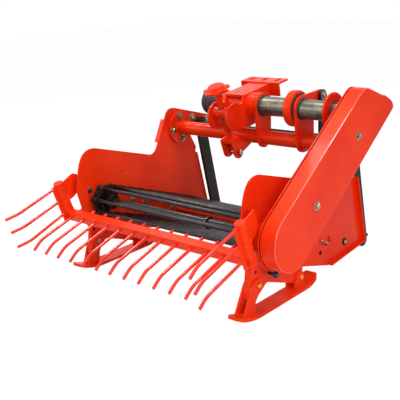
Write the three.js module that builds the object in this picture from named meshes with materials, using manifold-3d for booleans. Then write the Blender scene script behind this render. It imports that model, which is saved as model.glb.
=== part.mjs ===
// Rear-mounted potato harvester for a walking tractor.
// Millimetres, +Z up, +Y the way it travels, +X its right-hand side.
// The ground is z = 0 until the whole machine is centred over its footprint at the end.
import * as THREE from 'three';
import { mergeVertices } from 'three/addons/utils/BufferGeometryUtils.js';
import Module from 'manifold-3d';

const wasm = await Module();
wasm.setup();

// ---------------------------------------------------------------- driving sizes
const fitGap = 0.3;                 // between faces that touch
const slideGap = 0.6;               // between a shaft and the bore it turns in
const workingWidth = 600;           // between the two side panels
const panelThickness = 4;
const foldWidth = 13;               // folded edges of the side panels

const driveAxis = { y: 132, z: 439 };
const driveTubeRadius = 28;
const driveShaftRadius = 12.5;
const tubeRelief = 2;               // room for the drive tube where it passes over the panels
const crossTube = { y: 134.5, z: 344.5, radius: 21.5 };

const rearShaft = { y: -228, z: 195, radius: 12.5 };
const frontIdler = { y: 159, z: 57, radius: 10 };
const webRearRadius = 41;           // rod centres, round the rear sprockets
const webFrontRadius = 38;          // rod centres, round the front idler
const webRodRadius = 5.5;
const webRodPitch = 41;
const webFirstRod = -0.64;          // place of the first rod, in pitches from the top of the rear arc
const webChainHalfHeight = 9;
const webChainWidth = 22;
const webSideGap = 16;              // from web to side panel

const rack = { y: -318, z: 166, tilt: THREE.MathUtils.degToRad(17) };
const rackBarSize = 26;
const tineRadius = 4.2;
const tinePitch = 52.4;
const tineCount = 12;
const tineFirst = -314.4;           // across, of the tine furthest left
const tineStraight = 131;
const tineTip = 37;
const tineBend = THREE.MathUtils.degToRad(22);
const tineStub = 22;                // how far a tine stands out in front of the bar
const postRadius = 15.7;
const postOffset = 30;              // post axis, outside the side panel's outer face
const postHeight = 108;
const stripWidth = 10;
const stripThickness = 5;
const sideTineHeights = [13, 55, 98];
const sideTineStraight = { left: 137, right: 148 };
const sideTineTip = { left: 40, right: 32 };

const caseGap = 45;                 // side panel to chain case
const caseDepth = 49;
const caseRadius = 77.5;
const caseBeyondDrive = 112;        // how far the case runs on past the drive shaft

const skidWidth = 48;
const skidThickness = 8;
const skidRear = { left: -264, right: -278 };   // where each sole leaves the ground at the back
const skidFront = -69;              // and at the front
const skidRearBolt = { y: -266, z: 78 };
const skidFrontBolt = { y: -84, z: 35 };
const bracketThickness = 6;
const cheekThickness = 6;
const bracketChannel = { left: 12, right: 20 }; // how far each bracket's rear flange turns in

const armWidth = 43;
const armThickness = 10;
const armTop = { y: 226, z: 342 };
const armFoot = { y: 286, z: 22 };
const bladeThickness = 8;
const bladeRear = { y: 236, z: 52 };
const bladeSideFront = 335;
const bladePoint = 395;
const bladeRodRadius = 7;

const hitchX = -29;                 // middle of the hitch box
const hitchWidth = 74;
const hitchPlate = 7;
const hitchTilt = THREE.MathUtils.degToRad(7);
const hitchTop = 39;                // box top above the drive axis
const hitchFront = 92;              // box front, ahead of the drive axis
const hitchRear = -34;
const lobe = { u: -84, w: -13, radius: 40 };
const bossRadius = 37;
const bossGap = 2;                  // boss end to the piece beside it on the tube
const angleWidth = 144;
const angleLeg = 51;
const angleThickness = 6;
const slotLength = 32;
const slotWidth = 12;
const slotPitch = 48;

const trunnion = { y: driveAxis.y - 94, z: driveAxis.z - 9, radius: 15, pinRadius: 6 };
const anchorPin = { y: crossTube.y - 55.5, z: crossTube.z - 40.5, radius: 6 };
const rodRadius = 8;
const threadRadius = 6;
const sleeveRadius = 9.5;
const sleeveTop = -38;              // below the trunnion axis, along the screw
const clevisTop = -87;
const clevisWall = 6;
const clevisDepth = 38;
const anchorWidth = 32;
const pinDrift = 0.8;               // room round the pin in the clevis eye
const neckRadius = 9.5;
const handwheelRadius = 40;
const handwheelBottom = 69;
const handwheelRim = 6;
const handwheelHeight = 16;

const hangerThickness = 8;
const hangerLeftX = 46;             // plate middles
const hangerRightX = 184;
const collar = { x: 164, radius: 52, length: 25 };
const endDisc = { x: 286, radius: 53, length: 7 };
const hangerTopRadius = 38;
const hangerFootRadius = 31;
const stay = { y: driveAxis.y + 94, z: driveAxis.z + 25, radius: 17, thickness: 8 };

const driveTubeLeft = -98;
const boot = { left: -163, right: -84, radius: 40, wall: 4 };
const inputStub = 6;                // shaft end outside the boot

// ---------------------------------------------------------------- places worked out
const panelInner = workingWidth / 2;
const panelOuter = panelInner + panelThickness;
const caseInner = panelOuter + caseGap;
const webHalf = panelInner - webSideGap;
const screwTilt = Math.atan2(anchorPin.y - trunnion.y, trunnion.z - anchorPin.z);
const pinDistance = Math.hypot(trunnion.y - anchorPin.y, trunnion.z - anchorPin.z);

// ---------------------------------------------------------------- finishes
const finish = (color, roughness, metalness) =>
  () => new THREE.MeshStandardMaterial({ color, roughness, metalness });
const redPaint = finish('#e02410', 0.32, 0.0);
const blackPaint = finish('#22211f', 0.5, 0.1);
const darkSteel = finish('#2b2522', 0.6, 0.4);
const zinc = finish('#a8a48c', 0.38, 0.8);
const rubber = finish('#17181a', 0.75, 0.0);

// ---------------------------------------------------------------- shape tools
const machine = new THREE.Group();

// Puts a geometry drawn as x = machine Y, y = machine Z, depth = machine X into machine axes.
function alongX(geometry, x0) {
  geometry.applyMatrix4(new THREE.Matrix4().set(0, 0, 1, x0, 1, 0, 0, 0, 0, 1, 0, 0, 0, 0, 0, 1));
  return geometry;
}

function plate(shape, x0, x1, curveSegments = 14) {
  return alongX(new THREE.ExtrudeGeometry(shape, { depth: x1 - x0, bevelEnabled: false, curveSegments }), x0);
}

function cylinderX(y, z, radius, x0, x1, segments = 28) {
  const geometry = new THREE.CylinderGeometry(radius, radius, x1 - x0, segments);
  geometry.rotateZ(Math.PI / 2);
  geometry.translate((x0 + x1) / 2, y, z);
  return geometry;
}

function block(x0, x1, y0, y1, z0, z1) {
  const geometry = new THREE.BoxGeometry(x1 - x0, y1 - y0, z1 - z0);
  geometry.translate((x0 + x1) / 2, (y0 + y1) / 2, (z0 + z1) / 2);
  return geometry;
}

function outline(points) {
  const shape = new THREE.Shape();
  points.forEach(([y, z], i) => (i ? shape.lineTo(y, z) : shape.moveTo(y, z)));
  shape.closePath();
  return shape;
}

// A flat link with round ends: the two circles and their outer tangents.
function linkShape(a, ra, b, rb) {
  const away = Math.atan2(b.z - a.z, b.y - a.y);
  const spread = Math.acos((ra - rb) / Math.hypot(b.y - a.y, b.z - a.z));
  const shape = new THREE.Shape();
  shape.absarc(a.y, a.z, ra, away + spread, away - spread + 2 * Math.PI, false);
  shape.absarc(b.y, b.z, rb, away - spread, away + spread, false);
  shape.closePath();
  return shape;
}

function solid(geometry) {
  const bare = geometry.clone();
  bare.deleteAttribute('normal');
  bare.deleteAttribute('uv');
  const merged = mergeVertices(bare, 1e-4);
  return new wasm.Manifold(new wasm.Mesh({
    numProp: 3,
    vertProperties: new Float32Array(merged.attributes.position.array),
    triVerts: new Uint32Array(merged.index.array),
  }));
}

const joined = (...geometries) => geometries.map(solid).reduce((all, piece) => all.add(piece));

function cut(body, ...tools) {
  return tools.map((tool) => solid(tool)).reduce((left, tool) => left.subtract(tool), body);
}

function toGeometry(body) {
  const mesh = body.getMesh();
  const geometry = new THREE.BufferGeometry();
  geometry.setAttribute('position', new THREE.BufferAttribute(new Float32Array(mesh.vertProperties), 3));
  geometry.setIndex(new THREE.BufferAttribute(new Uint32Array(mesh.triVerts), 1));
  geometry.computeVertexNormals();
  return geometry;
}

function add(parent, name, shape, material) {
  const mesh = new THREE.Mesh(shape.isBufferGeometry ? shape : toGeometry(shape), material());
  mesh.name = name;
  parent.add(mesh);
  return mesh;
}

// A round bar through a list of points, its corners eased by a short curve.
function bentRod(points, radius, sides = 8) {
  const path = new THREE.CurvePath();
  const ease = 12;
  let from = points[0];
  for (let i = 1; i < points.length; i += 1) {
    const last = i === points.length - 1;
    const back = points[i].clone().sub(points[i - 1]).normalize();
    const before = last ? points[i] : points[i].clone().addScaledVector(back, -ease);
    path.add(new THREE.LineCurve3(from, before));
    if (!last) {
      const ahead = points[i + 1].clone().sub(points[i]).normalize();
      const after = points[i].clone().addScaledVector(ahead, ease);
      path.add(new THREE.QuadraticBezierCurve3(before, points[i], after));
      from = after;
    }
  }
  const section = new THREE.Shape();
  section.absarc(0, 0, radius, 0, 2 * Math.PI, false);
  return new THREE.ExtrudeGeometry(section, { steps: 7, extrudePath: path, curveSegments: sides / 2 });
}

const sides = [
  { name: 'left', sign: -1 },
  { name: 'right', sign: 1 },
];

// Mirrors a geometry made for the right-hand side when the left one is wanted.
function handed(geometry, sign) {
  if (sign > 0) return geometry;
  const mirrored = geometry.clone();
  mirrored.scale(-1, 1, 1);
  const flipped = mirrored.index ? mirrored.toNonIndexed() : mirrored;
  const position = flipped.attributes.position;
  for (let i = 0; i < position.count; i += 3) {
    const [x, y, z] = [position.getX(i), position.getY(i), position.getZ(i)];
    position.setXYZ(i, position.getX(i + 1), position.getY(i + 1), position.getZ(i + 1));
    position.setXYZ(i + 1, x, y, z);
  }
  return flipped;
}

// ---------------------------------------------------------------- side panels
// Low at the back with a round shoulder, and a tower in front that carries the cross tube.
const panelFrontEdge = (z) => 267.8 - 0.213 * z;

function panelShape() {
  const shape = new THREE.Shape();
  shape.moveTo(-283, 123);
  shape.lineTo(71, 13);
  shape.lineTo(panelFrontEdge(29), 29);
  shape.lineTo(panelFrontEdge(241), 241);
  shape.lineTo(206, 246);
  shape.lineTo(210, 264);
  shape.lineTo(185, 309);
  shape.quadraticCurveTo(184, 320, 200, 320);
  shape.lineTo(280, 322);
  shape.quadraticCurveTo(294, 324, 292, 358);
  shape.lineTo(118, 410);
  shape.quadraticCurveTo(84, 418, 72, 386);
  shape.lineTo(30, 308);
  shape.quadraticCurveTo(16, 276, -8, 282);
  shape.lineTo(-226, 349);
  shape.quadraticCurveTo(-286, 362, -300, 283);
  shape.lineTo(-311, 240);
  shape.closePath();
  return shape;
}

// A flat strip on edge, from one point to the next, standing out from the panel.
function fold(from, to) {
  const length = Math.hypot(to[0] - from[0], to[1] - from[1]);
  const geometry = new THREE.BoxGeometry(foldWidth, length, 3);
  geometry.rotateX(Math.atan2(to[1] - from[1], to[0] - from[0]));
  geometry.translate(panelOuter + foldWidth / 2 - 0.5, (from[0] + to[0]) / 2, (from[1] + to[1]) / 2);
  return geometry;
}

const takeUp = { y: 55, z: 92, length: 56, height: 26, tilt: THREE.MathUtils.degToRad(-17.5) };
const takeUpLap = 7;
const takeUpPlate = 4;

// The take-up opening's outline, larger by grow all round.
function takeUpShape(grow) {
  const half = (takeUp.length - takeUp.height) / 2;
  const reach = { y: half * Math.cos(takeUp.tilt), z: half * Math.sin(takeUp.tilt) };
  const a = { y: takeUp.y - reach.y, z: takeUp.z - reach.z };
  const b = { y: takeUp.y + reach.y, z: takeUp.z + reach.z };
  return linkShape(a, takeUp.height / 2 + grow, b, takeUp.height / 2 + grow);
}

for (const { name, sign } of sides) {
  const body = cut(
    joined(
      plate(panelShape(), panelInner, panelOuter),
      fold([panelFrontEdge(236) - 1.6, 236], [panelFrontEdge(31) - 1.6, 31]),
      fold([panelFrontEdge(30) - 4, 31], [73, 15]),
      fold([34, 312], [70, 380]),
    ),
    plate(takeUpShape(0), panelInner - 5, panelOuter + 5),
    cylinderX(driveAxis.y, driveAxis.z, driveTubeRadius + tubeRelief, panelInner - 5, panelOuter + foldWidth),
    cylinderX(rearShaft.y, rearShaft.z, rearShaft.radius + slideGap, panelInner - 5, panelOuter + 5),
    cylinderX(frontIdler.y, frontIdler.z, frontIdler.radius + fitGap, panelInner - 5, panelOuter + 5),
  );
  add(machine, `side_panel_${name}`, handed(toGeometry(body), sign), redPaint);
  // The sliding plate that carries the idler's adjusting bolt closes the opening from inside.
  const slider = plate(takeUpShape(takeUpLap), panelInner - fitGap - takeUpPlate, panelInner - fitGap);
  add(machine, `take_up_plate_${name}`, handed(slider, sign), redPaint);
}

// Flat cross tie inside the web's loop, between the two panels.
const tieEnd = panelInner - fitGap;
const tieShape = outline([[92, 75], [96, 81], [122, 60], [118, 54]]);
add(machine, 'cross_tie', plate(tieShape, -tieEnd, tieEnd), redPaint);

// ---------------------------------------------------------------- cross tube and its flanges
const flangeThickness = 8;
const flangeRadius = 52;
for (const { name, sign } of sides) {
  const flange = cylinderX(crossTube.y, crossTube.z, flangeRadius,
    panelInner - fitGap - flangeThickness, panelInner - fitGap);
  add(machine, `cross_tube_flange_${name}`, handed(flange, sign), redPaint);
}
const crossEnd = panelInner - 2 * fitGap - flangeThickness;
add(machine, 'cross_tube', cylinderX(crossTube.y, crossTube.z, crossTube.radius, -crossEnd, crossEnd), redPaint);

// ---------------------------------------------------------------- hanger plates
function hangerBody(shape, x) {
  return cut(
    solid(plate(shape, x - hangerThickness / 2, x + hangerThickness / 2)),
    cylinderX(driveAxis.y, driveAxis.z, driveTubeRadius + fitGap, x - 10, x + 10),
    cylinderX(crossTube.y, crossTube.z, crossTube.radius + fitGap, x - 10, x + 10),
  );
}
const hangerShape = linkShape(driveAxis, hangerTopRadius, crossTube, hangerFootRadius);
add(machine, 'hanger_plate_left', hangerBody(hangerShape, hangerLeftX), redPaint);

// The right-hand hanger has an arm that reaches forward to the stay link.
function armHangerShape() {
  const shape = new THREE.Shape();
  const front = driveAxis.y + 55;
  shape.absarc(driveAxis.y, driveAxis.z, hangerTopRadius, Math.PI / 2, Math.PI, false);
  shape.absarc(crossTube.y, crossTube.z, hangerFootRadius, Math.PI, 1.5 * Math.PI, false);
  shape.lineTo(front - 14, crossTube.z - hangerFootRadius);
  shape.quadraticCurveTo(front, crossTube.z - hangerFootRadius, front, crossTube.z - 12);
  shape.lineTo(front, driveAxis.z - 22);
  shape.absarc(stay.y, stay.z, stay.radius, -0.95, 1.5, false);
  shape.closePath();
  return shape;
}
add(machine, 'hanger_plate_right', hangerBody(armHangerShape(), hangerRightX), redPaint);

// ---------------------------------------------------------------- drive tube, collar and disc
const driveTubeRight = caseInner - fitGap;
const driveBore = driveShaftRadius + slideGap;

function ringX(axis, outer, inner, x0, x1) {
  const shape = new THREE.Shape();
  shape.absarc(axis.y, axis.z, outer, 0, 2 * Math.PI, false);
  const hole = new THREE.Path();
  hole.absarc(axis.y, axis.z, inner, 0, 2 * Math.PI, true);
  shape.holes.push(hole);
  return plate(shape, x0, x1, 20);
}

add(machine, 'drive_tube', ringX(driveAxis, driveTubeRadius, driveBore, driveTubeLeft, driveTubeRight), zinc);
add(machine, 'bearing_collar',
  ringX(driveAxis, collar.radius, driveTubeRadius + fitGap, collar.x - collar.length / 2,
    Math.min(collar.x + collar.length / 2, hangerRightX - hangerThickness / 2 - fitGap)), redPaint);
add(machine, 'end_disc',
  ringX(driveAxis, endDisc.radius, driveTubeRadius + fitGap, endDisc.x - endDisc.length / 2,
    endDisc.x + endDisc.length / 2), redPaint);

// ---------------------------------------------------------------- input shaft and its rubber boot
// The boot grips the end of the drive tube and hides all but the end of the shaft.
add(machine, 'drive_shaft',
  cylinderX(driveAxis.y, driveAxis.z, driveShaftRadius, boot.left - inputStub, driveTubeRight, 24), zinc);
add(machine, 'input_boot', cut(
  solid(ringX(driveAxis, boot.radius, driveTubeRadius + fitGap, boot.left, boot.right)),
  cylinderX(driveAxis.y, driveAxis.z, boot.radius - boot.wall, boot.left - 5, driveTubeLeft, 40),
), rubber);

// ---------------------------------------------------------------- chain case
// A closed sheet-metal housing that runs from the drive shaft down to the rear shaft.
function caseShape() {
  const reach = Math.hypot(driveAxis.y - rearShaft.y, driveAxis.z - rearShaft.z);
  const r = caseRadius;
  const shape = new THREE.Shape();
  shape.absarc(0, 0, r, Math.PI / 2, 1.5 * Math.PI, false);
  const end = reach + caseBeyondDrive;
  shape.lineTo(end - 14, -r);
  shape.quadraticCurveTo(end + 6, -r, end - 3, -r * 0.6);
  shape.lineTo(end - 20, -r * 0.18);
  shape.lineTo(end - 33, 0);
  shape.lineTo(end - 73, r * 0.76);
  shape.quadraticCurveTo(end - 84, r, end - 118, r);
  shape.closePath();
  return shape;
}
const caseAngle = Math.atan2(driveAxis.z - rearShaft.z, driveAxis.y - rearShaft.y);
const caseBody = plate(caseShape(), caseInner, caseInner + caseDepth);
caseBody.rotateX(caseAngle);
caseBody.translate(0, rearShaft.y, rearShaft.z);
add(machine, 'chain_case', caseBody, redPaint);

// ---------------------------------------------------------------- rear shaft and its bearings
const sprocketRadius = webRearRadius - webRodRadius - slideGap;
const sprocketOuter = webHalf - webChainWidth - 2;
const sprocketWidth = 12;
const bearingRadius = 34;
const bearingDepth = 12;
const hubRadius = 28;
add(machine, 'rear_drive_shaft', joined(
  cylinderX(rearShaft.y, rearShaft.z, rearShaft.radius, -panelOuter - 30, caseInner - fitGap, 32),
  ...sides.map(({ sign }) => handed(cylinderX(rearShaft.y, rearShaft.z, sprocketRadius,
    sprocketOuter - sprocketWidth, sprocketOuter, 32), sign)),
), darkSteel);

for (const { name, sign } of sides) {
  const hubEnd = sign > 0 ? caseInner - fitGap : panelOuter + 26;
  const housing = cut(
    joined(
      cylinderX(rearShaft.y, rearShaft.z, bearingRadius, panelOuter + fitGap, panelOuter + fitGap + bearingDepth),
      cylinderX(rearShaft.y, rearShaft.z, hubRadius, panelOuter + fitGap, hubEnd),
    ),
    cylinderX(rearShaft.y, rearShaft.z, rearShaft.radius + fitGap, panelOuter - 5, hubEnd + 5),
  );
  add(machine, `rear_bearing_${name}`, handed(toGeometry(housing), sign), redPaint);
}

// ---------------------------------------------------------------- front idler
const idlerRollerRadius = webFrontRadius - webRodRadius - slideGap;
add(machine, 'front_idler', joined(
  cylinderX(frontIdler.y, frontIdler.z, frontIdler.radius, -panelOuter - 4, panelOuter + 4, 24),
  ...sides.map(({ sign }) => handed(cylinderX(frontIdler.y, frontIdler.z, idlerRollerRadius,
    sprocketOuter - 26, sprocketOuter, 32), sign)),
), darkSteel);

// ---------------------------------------------------------------- rod web
// Two side chains and the cross rods between them, one fixed loop round sprockets and idler.
function webPoint(distance) {
  const [a, b, ra, rb] = [rearShaft, frontIdler, webRearRadius, webFrontRadius];
  const along = Math.atan2(b.z - a.z, b.y - a.y);
  const span = Math.hypot(b.y - a.y, b.z - a.z);
  const lean = Math.asin((ra - rb) / span);
  const run = Math.sqrt(span ** 2 - (ra - rb) ** 2);
  const frontArc = rb * (Math.PI - 2 * lean);
  const rearArc = ra * (Math.PI + 2 * lean);
  const total = 2 * run + frontArc + rearArc;
  const up = along + Math.PI / 2 - lean;
  const down = along - Math.PI / 2 + lean;
  const at = (c, r, angle) => [c.y + r * Math.cos(angle), c.z + r * Math.sin(angle)];
  const mix = (p, q, t) => [p[0] + (q[0] - p[0]) * t, p[1] + (q[1] - p[1]) * t];
  let d = ((distance % total) + total) % total;
  if (d < run) return { total, at: mix(at(a, ra, up), at(b, rb, up), d / run) };
  d -= run;
  if (d < frontArc) return { total, at: at(b, rb, up - d / rb) };
  d -= frontArc;
  if (d < run) return { total, at: mix(at(b, rb, down), at(a, ra, down), d / run) };
  d -= run;
  return { total, at: at(a, ra, down - d / ra) };
}

const chainRing = linkShape(rearShaft, webRearRadius + webChainHalfHeight,
  frontIdler, webFrontRadius + webChainHalfHeight);
const chainHole = linkShape(rearShaft, webRearRadius - webChainHalfHeight,
  frontIdler, webFrontRadius - webChainHalfHeight);
const webPieces = sides.map(({ sign }) => {
  const ring = cut(solid(plate(chainRing, webHalf - webChainWidth, webHalf)),
    plate(chainHole, webHalf - webChainWidth - 5, webHalf + 5));
  return handed(toGeometry(ring), sign);
});
const webTotal = webPoint(0).total;
const webRods = Math.round(webTotal / webRodPitch);
for (let i = 0; i < webRods; i += 1) {
  const [y, z] = webPoint(((i + webFirstRod) / webRods) * webTotal).at;
  webPieces.push(cylinderX(y, z, webRodRadius, -webHalf + 2, webHalf - 2, 6));
}
add(machine, 'conveyor_web', joined(...webPieces), darkSteel);

// ---------------------------------------------------------------- digging blade and its arms
const armInner = panelInner - 6 - armThickness;
for (const { name, sign } of sides) {
  const bar = cut(
    solid(plate(linkShape(armTop, armWidth / 2, armFoot, armWidth / 2), armInner, armInner + armThickness)),
    block(0, workingWidth, 0, 500, -60, 1),
    cylinderX(armTop.y, armTop.z, bladeRodRadius + fitGap, armInner - 5, panelInner),
  );
  add(machine, `blade_arm_${name}`, handed(toGeometry(bar), sign), blackPaint);
}
add(machine, 'blade_cross_rod',
  cylinderX(armTop.y, armTop.z, bladeRodRadius, -panelInner + fitGap, panelInner - fitGap, 20), blackPaint);

const bladeHalf = armInner - fitGap;
const bladePlan = outline([[-bladeHalf, 0], [bladeHalf, 0], [bladeHalf, bladeSideFront - bladeRear.y],
  [0, bladePoint - bladeRear.y], [-bladeHalf, bladeSideFront - bladeRear.y]]);
const bladeBody = new THREE.ExtrudeGeometry(bladePlan, { depth: bladeThickness, bevelEnabled: false });
const bladeSlope = Math.asin((bladeRear.z - bladeThickness) / (bladePoint - bladeRear.y));
bladeBody.rotateX(-bladeSlope);
bladeBody.computeBoundingBox();
bladeBody.translate(0, bladeRear.y, -bladeBody.boundingBox.min.z);
add(machine, 'digging_blade', bladeBody, blackPaint);

// ---------------------------------------------------------------- tine rack
// A square bar with twelve bent tines through it, and a post with three more at each end.
const rackGroup = new THREE.Group();
rackGroup.position.set(0, rack.y, rack.z);
rackGroup.rotation.x = rack.tilt;
machine.add(rackGroup);

const postX = panelOuter + postOffset;
const rackEnd = postX + 13;
const half = rackBarSize / 2;
const dropTip = (y, z, length = tineTip) =>
  new THREE.Vector3(0, y - length * Math.cos(tineBend), z - length * Math.sin(tineBend));
const tinePieces = [];
for (let i = 0; i < tineCount; i += 1) {
  const x = tineFirst + i * tinePitch;
  const tip = dropTip(-tineStraight, 0);
  tip.x = x;
  tinePieces.push(bentRod([new THREE.Vector3(x, half + tineStub, 0),
    new THREE.Vector3(x, -tineStraight, 0), tip], tineRadius));
}
add(rackGroup, 'tine_rack',
  joined(block(-rackEnd, rackEnd, -half, half, -half, half), ...tinePieces), redPaint);

for (const { name, sign } of sides) {
  const x = sign * postX;
  const barrel = new THREE.CylinderGeometry(postRadius, postRadius, postHeight - half, 24);
  barrel.rotateX(Math.PI / 2);
  barrel.translate(x, 0, (postHeight + half) / 2 + fitGap);
  const stripFront = -postRadius + 2;
  const strip = block(x - stripThickness / 2, x + stripThickness / 2, stripFront - stripWidth - 2, stripFront,
    -half, postHeight - 4);
  const clearOfBar = block(x - 20, x + 20, -half - fitGap, half, -half - 5, half + fitGap);
  const tines = sideTineHeights.map((height) => {
    const bend = new THREE.Vector3(x, -sideTineStraight[name] - postRadius, height);
    // On the left the tips turn outward, on the right they drop like the others.
    const reach = sideTineTip[name];
    const tip = dropTip(bend.y, sign > 0 ? height : height + reach * Math.sin(tineBend), reach);
    tip.x = sign > 0 ? x : x - reach * Math.sin(tineBend);
    return bentRod([new THREE.Vector3(x, stripFront - stripWidth, height), bend, tip], tineRadius);
  });
  add(rackGroup, `tine_post_${name}`, cut(joined(barrel, strip, ...tines), clearOfBar), redPaint);
}

// Bent plates that carry the posts from the side panels.
const bracketPlate = 5;
const bracketSide = outline([[-20, 48], [22, 41], [34, 43], [60, 52], [86, 58], [88, 66], [66, 98],
  [60, 105], [52, 107], [40, 105], [-20, 97]]);
for (const { name, sign } of sides) {
  const inside = panelOuter + fitGap;
  const plan = outline([
    [inside, 110], [inside + bracketPlate, 110], [inside + bracketPlate, 80], [postX + 1, 57],
    [postX + 1, 0], [postX + 1 - bracketPlate, 0], [postX + 1 - bracketPlate, 54], [inside, 77],
  ]);
  const bent = new THREE.ExtrudeGeometry(plan, { depth: 120, bevelEnabled: false });
  const post = new THREE.CylinderGeometry(postRadius + fitGap, postRadius + fitGap, 400, 24);
  post.rotateX(Math.PI / 2);
  post.translate(postX, 0, 0);
  const trimmed = solid(bent).intersect(solid(plate(bracketSide, 0, workingWidth)));
  add(rackGroup, `post_bracket_${name}`, handed(toGeometry(cut(trimmed, post)), sign), redPaint);
}

// ---------------------------------------------------------------- skids
// The right bracket lies against its panel's outer face, the left one against the inner face.
const bracketX = { left: panelInner - fitGap - bracketThickness, right: panelOuter + fitGap };
function skidBracketShape() {
  const shape = new THREE.Shape();
  shape.moveTo(-262, 137);
  shape.quadraticCurveTo(-279, 141, -283, 124);
  shape.lineTo(-296, 46);
  shape.lineTo(-262, 46);
  shape.lineTo(-238, 60);
  shape.quadraticCurveTo(-226, 72, -212, 65);
  shape.lineTo(skidFrontBolt.y - 6, skidFrontBolt.z - 17);
  shape.absarc(skidFrontBolt.y, skidFrontBolt.z, 18, -1.9, 0.3, false);
  shape.lineTo(-60, 76);
  shape.closePath();
  return shape;
}

function skidSole(rear) {
  const rise = 22;
  const t = skidThickness;
  const shape = new THREE.Shape();
  shape.moveTo(rear, 0);
  shape.lineTo(skidFront, 0);
  shape.quadraticCurveTo(skidFront + 26, 2, skidFront + 54, rise - 2);
  shape.lineTo(skidFront + 50, rise + t - 3);
  shape.quadraticCurveTo(skidFront + 24, t + 3, skidFront - 2, t);
  shape.lineTo(rear + 2, t);
  shape.quadraticCurveTo(rear - 40, t + 1, rear - 82, rise + t - 2);
  shape.lineTo(rear - 84, rise - 2);
  shape.quadraticCurveTo(rear - 42, 1, rear, 0);
  return shape;
}

// The sole seen from above: a strip with round ends.
function solePlan(middle, rear) {
  const r = skidWidth / 2 - 2;
  const back = rear - 84 + r;
  const front = skidFront + 54 - r;
  const shape = new THREE.Shape();
  shape.absarc(middle, front, skidWidth / 2, 0, Math.PI, false);
  shape.absarc(middle, back, skidWidth / 2, Math.PI, 2 * Math.PI, false);
  shape.closePath();
  return new THREE.ExtrudeGeometry(shape, { depth: 60, bevelEnabled: false, curveSegments: 12 });
}

for (const { name, sign } of sides) {
  const x = bracketX[name];
  const middle = x + bracketThickness / 2;
  const rear = skidRear[name];
  const flangeShape = outline([[-278.6, 121], [-284, 121], [-296.5, 46], [-291, 46]]);
  const bracket = joined(
    plate(skidBracketShape(), x, x + bracketThickness),
    plate(flangeShape, x + bracketThickness - bracketChannel[name], x + bracketThickness),
  );
  add(machine, `skid_bracket_${name}`, handed(toGeometry(bracket), sign), redPaint);
  const seat = skidThickness - 2;
  const leg = outline([[rear - 49, seat + 6], [rear - 40, seat], [rear - 5, seat], [rear - 1, 40],
    [-247, skidRearBolt.z - 6], [-248, skidRearBolt.z + 8], [skidRearBolt.y + 6, skidRearBolt.z + 17],
    [skidRearBolt.y - 10, skidRearBolt.z + 15], [-288, skidRearBolt.z + 2]]);
  const ear = linkShape(skidFrontBolt, 17, { y: skidFrontBolt.y - 3, z: 16 }, 22);
  const flat = block(x - 60, x + 60, -400, 100, -40, skidThickness - 1);
  const outerFace = x + bracketThickness + fitGap;
  const innerFace = x + bracketThickness - bracketChannel[name] - fitGap;
  const sole = solid(plate(skidSole(rear), middle - skidWidth / 2, middle + skidWidth / 2))
    .intersect(solid(solePlan(middle, rear)));
  const cheeks = cut(
    joined(
      plate(leg, outerFace, outerFace + cheekThickness),
      plate(leg, innerFace - cheekThickness, innerFace),
      plate(ear, outerFace, outerFace + cheekThickness),
      plate(ear, innerFace - cheekThickness, innerFace),
    ),
    flat,
  );
  add(machine, `skid_${name}`, handed(toGeometry(sole.add(cheeks)), sign), redPaint);
}

// ---------------------------------------------------------------- stay link
const stayX = hangerRightX + hangerThickness / 2 + fitGap;
add(machine, 'stay_link', cut(
  solid(plate(linkShape(stay, stay.radius, armTop, stay.radius + 3), stayX, stayX + stay.thickness)),
  cylinderX(armTop.y, armTop.z, bladeRodRadius + fitGap, stayX - 5, stayX + stay.thickness + 5, 20),
), blackPaint);

// ---------------------------------------------------------------- hitch, turning on the drive tube
const hitch = new THREE.Group();
hitch.position.set(0, driveAxis.y, driveAxis.z);
hitch.rotation.x = hitchTilt;
machine.add(hitch);

const hitchLeft = hitchX - hitchWidth / 2;
const hitchRight = hitchX + hitchWidth / 2;

function hitchSideShape() {
  const shape = new THREE.Shape();
  shape.moveTo(hitchRear, hitchTop);
  shape.quadraticCurveTo(hitchRear - 2, 24, hitchRear - 14, 18);
  shape.absarc(lobe.u, lobe.w, lobe.radius, 0.85, 1.5 * Math.PI, false);
  shape.lineTo(-20, -60);
  shape.lineTo(20, -58);
  shape.quadraticCurveTo(50, -56, hitchFront, -20);
  shape.lineTo(hitchFront, hitchTop);
  shape.closePath();
  return shape;
}
const tubeClear = cylinderX(0, 0, driveTubeRadius + slideGap, -400, 400);
const trunnionLocal = new THREE.Vector3(0, trunnion.y - driveAxis.y, trunnion.z - driveAxis.z)
  .applyAxisAngle(new THREE.Vector3(1, 0, 0), -hitchTilt);
add(hitch, 'hitch_box', cut(
  joined(
    plate(hitchSideShape(), hitchLeft, hitchLeft + hitchPlate),
    plate(hitchSideShape(), hitchRight - hitchPlate, hitchRight),
    block(hitchLeft, hitchRight, hitchRear, hitchFront, hitchTop - hitchPlate, hitchTop),
    cylinderX(0, 0, bossRadius, boot.right + bossGap, hangerLeftX - hangerThickness / 2 - bossGap),
  ),
  tubeClear,
  cylinderX(trunnionLocal.y, trunnionLocal.z, trunnion.pinRadius + fitGap, hitchLeft - 5, hitchRight + 5, 20),
), redPaint);

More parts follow.
